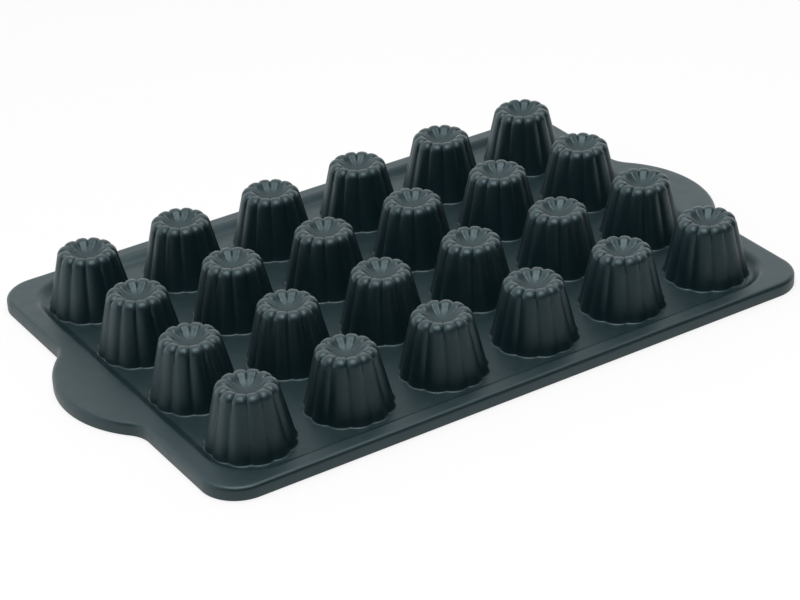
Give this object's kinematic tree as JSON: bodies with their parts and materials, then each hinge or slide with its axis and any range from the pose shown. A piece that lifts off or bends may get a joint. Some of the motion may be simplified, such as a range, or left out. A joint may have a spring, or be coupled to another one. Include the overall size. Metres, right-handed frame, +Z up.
{
  "type": "mini charlotte mould",
  "caption": "Flexible baking mould, shown cups upward: a grid of small fluted cups with petalled crowns on a thin sheet, framed by a thick border with rounded grips.",
  "frame": {"origin": "under the middle of the mould, on the plane that the underside of its border stands on with its cups upward", "axes": "+X along the mould through both grips, +Y across it, +Z up out of the closed ends of the cups"},
  "size_m": [0.3326, 0.2078, 0.0308],
  "materials": {
    "silicone": "satin dark slate-green silicone"
  },
  "bodies": {
    "root": {"sheet_r1_c1": "silicone", "sheet_r1_c2": "silicone", "sheet_r1_c3": "silicone", "sheet_r1_c4": "silicone", "sheet_r1_c5": "silicone", "sheet_r1_c6": "silicone", "sheet_r2_c1": "silicone", "sheet_r2_c2": "silicone", "sheet_r2_c3": "silicone", "sheet_r2_c4": "silicone", "sheet_r2_c5": "silicone", "sheet_r2_c6": "silicone", "sheet_r3_c1": "silicone", "sheet_r3_c2": "silicone", "sheet_r3_c3": "silicone", "sheet_r3_c4": "silicone", "sheet_r3_c5": "silicone", "sheet_r3_c6": "silicone", "sheet_r4_c1": "silicone", "sheet_r4_c2": "silicone", "sheet_r4_c3": "silicone", "sheet_r4_c4": "silicone", "sheet_r4_c5": "silicone", "sheet_r4_c6": "silicone", "cup_r1_c1": "silicone", "cup_r1_c2": "silicone", "cup_r1_c3": "silicone", "cup_r1_c4": "silicone", "cup_r1_c5": "silicone", "cup_r1_c6": "silicone", "cup_r2_c1": "silicone", "cup_r2_c2": "silicone", "cup_r2_c3": "silicone", "cup_r2_c4": "silicone", "cup_r2_c5": "silicone", "cup_r2_c6": "silicone", "cup_r3_c1": "silicone", "cup_r3_c2": "silicone", "cup_r3_c3": "silicone", "cup_r3_c4": "silicone", "cup_r3_c5": "silicone", "cup_r3_c6": "silicone", "cup_r4_c1": "silicone", "cup_r4_c2": "silicone", "cup_r4_c3": "silicone", "cup_r4_c4": "silicone", "cup_r4_c5": "silicone", "cup_r4_c6": "silicone", "border_front": "silicone", "border_back": "silicone", "grip_left": "silicone", "grip_right": "silicone"}
  },
  "joints": []
}
